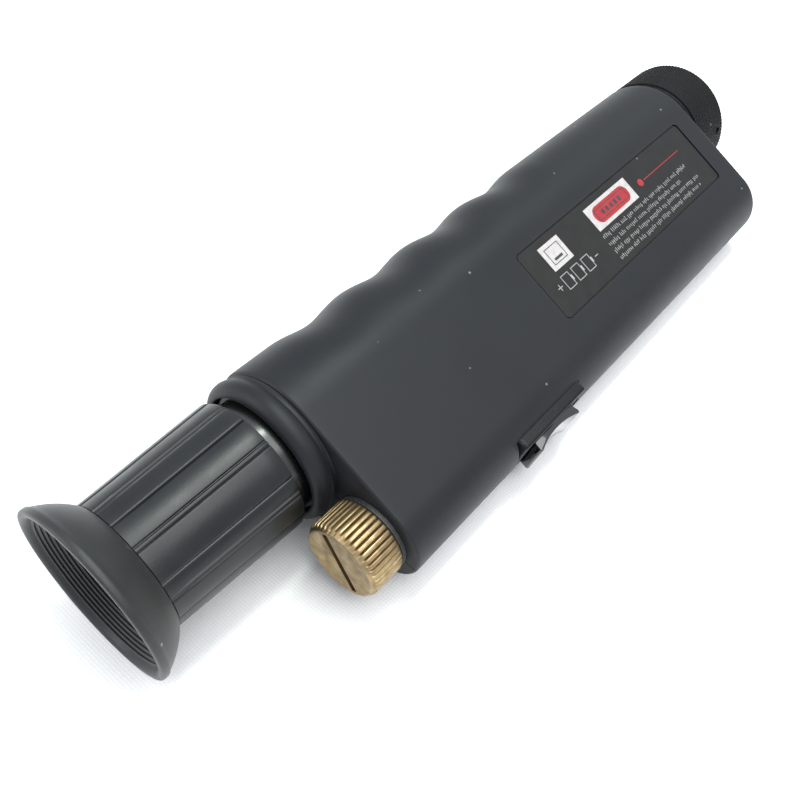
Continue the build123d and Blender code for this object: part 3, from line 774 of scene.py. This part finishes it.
def knob_slot_corner(long, wide, station):
    """A point in the coin slot's own directions."""
    y = long * cos(slot_turn) - wide * sin(slot_turn)
    z = long * sin(slot_turn) + wide * cos(slot_turn)
    return place(station, -battery_offset + y, z)


slot_cut = box_form([
    knob_slot_corner(a * slot_half_length, b * slot_half_width, s)
    for s in (knob_start - 1, knob_start + slot_depth)
    for a, b in ((-1, -1), (1, -1), (1, 1), (-1, 1))])
carve(knob, [slot_cut, plain_cylinder(knob_rear + 1.0, knob_rear + 9, cap_bore_r, -battery_offset)])
knob.data.shade_smooth()
knob.data.set_sharp_from_angle(angle=radians(30))
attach(knob, "battery_cap")
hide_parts("battery_cap")

# =============================== rocker ===============================
rocker_length, rocker_width = 13.8, 8.2
rocker_top, rocker_dip = 36.5, 1.2
pivot_depth = switch_seat - 0.9
rocker_base = pivot_depth - 1.9
half = rocker_length / 2
rocker_outline = []
for i in range(21):
    t = -1 + 2 * i / 20
    rocker_outline.append((t * (half - 0.35), rocker_top - rocker_dip * (1 - t * t)))
rocker_outline += [(half, rocker_top - 0.5), (half - 0.7, pivot_depth + 1.4),
                   (3.0, rocker_base), (-3.0, rocker_base),
                   (-half + 0.7, pivot_depth + 1.4), (-half, rocker_top - 0.5)]
rocker = piece("rocker_form",
               prism(rocker_outline, -rocker_width / 2, rocker_width / 2,
                     lambda a, b, h: place(switch_station + a, -b, h)),
               rocker_plastic, None, smooth=False)
bevel = rocker.modifiers.new("bevel", "BEVEL")
bevel.width = 0.22 * MM
bevel.segments = 3
bevel.angle_limit = radians(30)
apply_modifiers(rocker)
rocker.data.shade_smooth()
rocker.data.set_sharp_from_angle(angle=radians(40))
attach(rocker, "rocker")
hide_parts("rocker")

# =============================== label print ===============================
plate_top = -0.18
ink = 0.035


def printed(name, outlines, material, layer=0):
    """Thin raised print on the label plate, one closed prism per outline; a higher layer is
    printed over a lower one."""
    base = plate_top + layer * ink
    bm = bmesh.new()
    for outline in outlines:
        part = prism(outline, base, base + ink, on_flank)
        mesh = bpy.data.meshes.new("part")
        part.to_mesh(mesh)
        part.free()
        bm.from_mesh(mesh)
        bpy.data.meshes.remove(mesh)
    return piece(name, bm, material, "housing", smooth=False)


def bar(s0, s1, u0, u1):
    """A rectangle from station s0 to s1 and from u0 to u1 down the flank."""
    return [(s0, u0), (s1, u0), (s1, u1), (s0, u1)]


def frame_bars(s0, s1, u0, u1, line):
    """The four sides of an outlined rectangle."""
    return [bar(s0, s1, u0, u0 + line), bar(s0, s1, u1 - line, u1),
            bar(s0, s0 + line, u0 + line, u1 - line), bar(s1 - line, s1, u0 + line, u1 - line)]


# a white panel with a red badge, a red dot and line, and a framed tile
panel = (126.1, 143.4, 4.1, 10.1)
tile = (108.0, 115.2, 4.2, 10.2)
dot_station, dot_r, rule = 147.0, 0.95, (148.4, 165.3, 7.65, 7.85)
badge = rounded_rectangle(panel[0] + 1.6, panel[1] - 1.6, panel[2] + 0.9, panel[3] - 0.9, 2.0)
dot = circle(dot_station, 7.75, dot_r, 32)
printed("print_panels", [bar(*panel), bar(*tile)], print_white)
printed("print_badge", [badge, bar(*rule), dot], print_red, layer=1)
printed("print_tile_marks",
        frame_bars(109.2, 114.0, 5.2, 9.2, 0.16) + [bar(110.2, 113.0, 7.9, 8.5)],
        chip_black, layer=1)
printed("print_badge_marks", frame_bars(128.6, 140.9, 5.7, 8.5, 0.14)
        + [bar(130.6 + 1.7 * i, 131.5 + 1.7 * i, 6.5, 7.7) for i in range(5)], chip_black, layer=2)

# three cells in a row, between a plus and a minus
cell_start, cell_pitch, cell_length, cell_tip = 107.9, 3.9, 2.7, 3.1
cell_marks = []
for i in range(3):
    start = cell_start + i * cell_pitch
    cell_marks += frame_bars(start, start + cell_length, 11.6, 15.1, 0.17)
    cell_marks.append(bar(start + cell_length, start + cell_tip, 12.7, 14.0))
cell_marks += [bar(105.3, 106.9, 13.25, 13.45), bar(106.0, 106.2, 12.55, 14.15),
               bar(119.8, 121.0, 13.25, 13.45)]
printed("print_battery_marks", cell_marks, print_grey)

# rows of fine strokes that spell nothing
rng = random.Random(7)
lines = []
row_start, stroke, stroke_pitch, word_gap = 125.7, 0.15, 0.6, 0.5
for u, end in ((11.0, 163.5), (12.95, 158.0), (14.9, 164.5), (16.85, 163.5)):
    s = row_start
    while s < end:
        word_end = min(s + rng.uniform(1.6, 5.2), end)
        while s < word_end:
            top, foot = rng.choice(((0.0, 1.0), (0.3, 1.0), (0.3, 1.0), (0.3, 1.3)))
            lines.append(bar(s, s + stroke, u + top, u + foot))
            if rng.random() < 0.6:
                level = u + rng.choice((0.3, 0.6, 0.88))
                lines.append(bar(s + stroke, s + 0.42, level, level + 0.12))
            s += stroke_pitch
        s += word_gap
printed("print_fine_lines", lines, print_grey)

# =============================== floor, light and camera ===============================
weave_scale = 520.0
weave_depth = 0.08
cloth_dark, cloth_light = (0.86, 0.86, 0.86), (0.95, 0.95, 0.94)
floor_material = bpy.data.materials.new("white_cloth")
floor_material.use_nodes = True
nodes, links = floor_material.node_tree.nodes, floor_material.node_tree.links
cloth = nodes["Principled BSDF"]
coords = nodes.new("ShaderNodeTexCoord")
threads = []
for axis in ("X", "Y"):
    wave = nodes.new("ShaderNodeTexWave")
    wave.bands_direction = axis
    wave.inputs["Scale"].default_value = weave_scale
    wave.inputs["Distortion"].default_value = 0.4
    links.new(coords.outputs["Object"], wave.inputs["Vector"])
    threads.append(wave.outputs["Fac"])
weave = nodes.new("ShaderNodeMath")
weave.operation = "MULTIPLY"
links.new(threads[0], weave.inputs[0])
links.new(threads[1], weave.inputs[1])
tone = nodes.new("ShaderNodeMix")
tone.data_type = "RGBA"
tone.inputs["A"].default_value = (*cloth_dark, 1)
tone.inputs["B"].default_value = (*cloth_light, 1)
links.new(weave.outputs["Value"], tone.inputs["Factor"])
links.new(tone.outputs["Result"], cloth.inputs["Base Color"])
cloth.inputs["Roughness"].default_value = 0.9
bump = nodes.new("ShaderNodeBump")
bump.inputs["Distance"].default_value = weave_depth * MM
bump.inputs["Strength"].default_value = 0.6
links.new(weave.outputs["Value"], bump.inputs["Height"])
links.new(bump.outputs["Normal"], cloth.inputs["Normal"])

# the floor plane touches the eyecup's rim and the body's far end
rim_low = Vector((rim_x + 0.9 * MM, 0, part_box("eyecup")[0].z))
body_low = Vector((rim_x + body_end * MM, 0, -tube_r * MM))
slope = (body_low.z - rim_low.z) / (body_low.x - rim_low.x)
bm = bmesh.new()
reach, floor_gap = 3.0, 0.00005
corners = []
for x, y in ((-reach, -reach), (reach, -reach), (reach, reach), (-reach, reach)):
    z = rim_low.z + slope * (x - rim_low.x) - floor_gap
    corners.append(bm.verts.new((x, y, z)))
bm.faces.new(corners)
mesh = bpy.data.meshes.new("floor")
bm.to_mesh(mesh)
bm.free()
mesh.materials.append(floor_material)
floor = bpy.data.objects.new("floor", mesh)
bpy.context.scene.collection.objects.link(floor)

horizon_color = (0.68, 0.70, 0.73)
zenith_color = (0.98, 1.02, 1.08)
world = bpy.data.worlds.new("studio")
bpy.context.scene.world = world
world.use_nodes = True
nodes, links = world.node_tree.nodes, world.node_tree.links
sky = nodes.new("ShaderNodeTexCoord")
split = nodes.new("ShaderNodeSeparateXYZ")
links.new(sky.outputs["Generated"], split.inputs["Vector"])
shade = nodes.new("ShaderNodeMix")
shade.data_type = "RGBA"
shade.inputs["A"].default_value = (*horizon_color, 1)
shade.inputs["B"].default_value = (*zenith_color, 1)
links.new(ramp(nodes, links, split.outputs["Z"], 0.05, 0.75, 0, 1), shade.inputs["Factor"])
links.new(shade.outputs["Result"], nodes["Background"].inputs["Color"])
nodes["Background"].inputs["Strength"].default_value = 1.0

centre = Vector((rim_x + 95 * MM, 0, 0))


def softbox(name, offset, size, power, color=(1, 1, 1)):
    """A rectangular area light that stands off from the centre and is aimed at it."""
    light = bpy.data.lights.new(name, "AREA")
    light.shape = "RECTANGLE"
    light.size, light.size_y = size
    light.energy = power
    light.color = color
    obj = bpy.data.objects.new(name, light)
    obj.location = centre + Vector(offset)
    obj.rotation_euler = (centre - obj.location).to_track_quat("-Z", "Y").to_euler()
    bpy.context.scene.collection.objects.link(obj)


softbox("window", (0.24, 0.03, 0.94), (0.14, 0.60), 5.2, color=(0.90, 1.0, 0.93))
softbox("ceiling", (0.05, -0.48, 1.05), (0.8, 0.8), 7.5)
softbox("side", (-0.75, 0.75, 0.65), (0.7, 0.7), 5.5)

# the camera at the photograph's angle
camera = bpy.data.cameras.new("camera")
camera.lens = 38.16
camera.sensor_width = 36.0
camera.clip_start = 0.01
camera_object = bpy.data.objects.new("camera", camera)
camera_place = Vector((-0.21817, -0.07072, 0.12715))
right = Vector((0.6428, -0.7632, 0.0657)).normalized()
ahead = Vector((0.5173, 0.3693, -0.7720)).normalized()
top = right.cross(ahead).normalized()
right = ahead.cross(top)
rotation = Matrix((right, top, -ahead)).transposed().to_4x4()
camera_object.matrix_world = Matrix.Translation(camera_place) @ rotation
bpy.context.scene.collection.objects.link(camera_object)
bpy.context.scene.camera = camera_object
bpy.context.scene.view_settings.view_transform = "Standard"
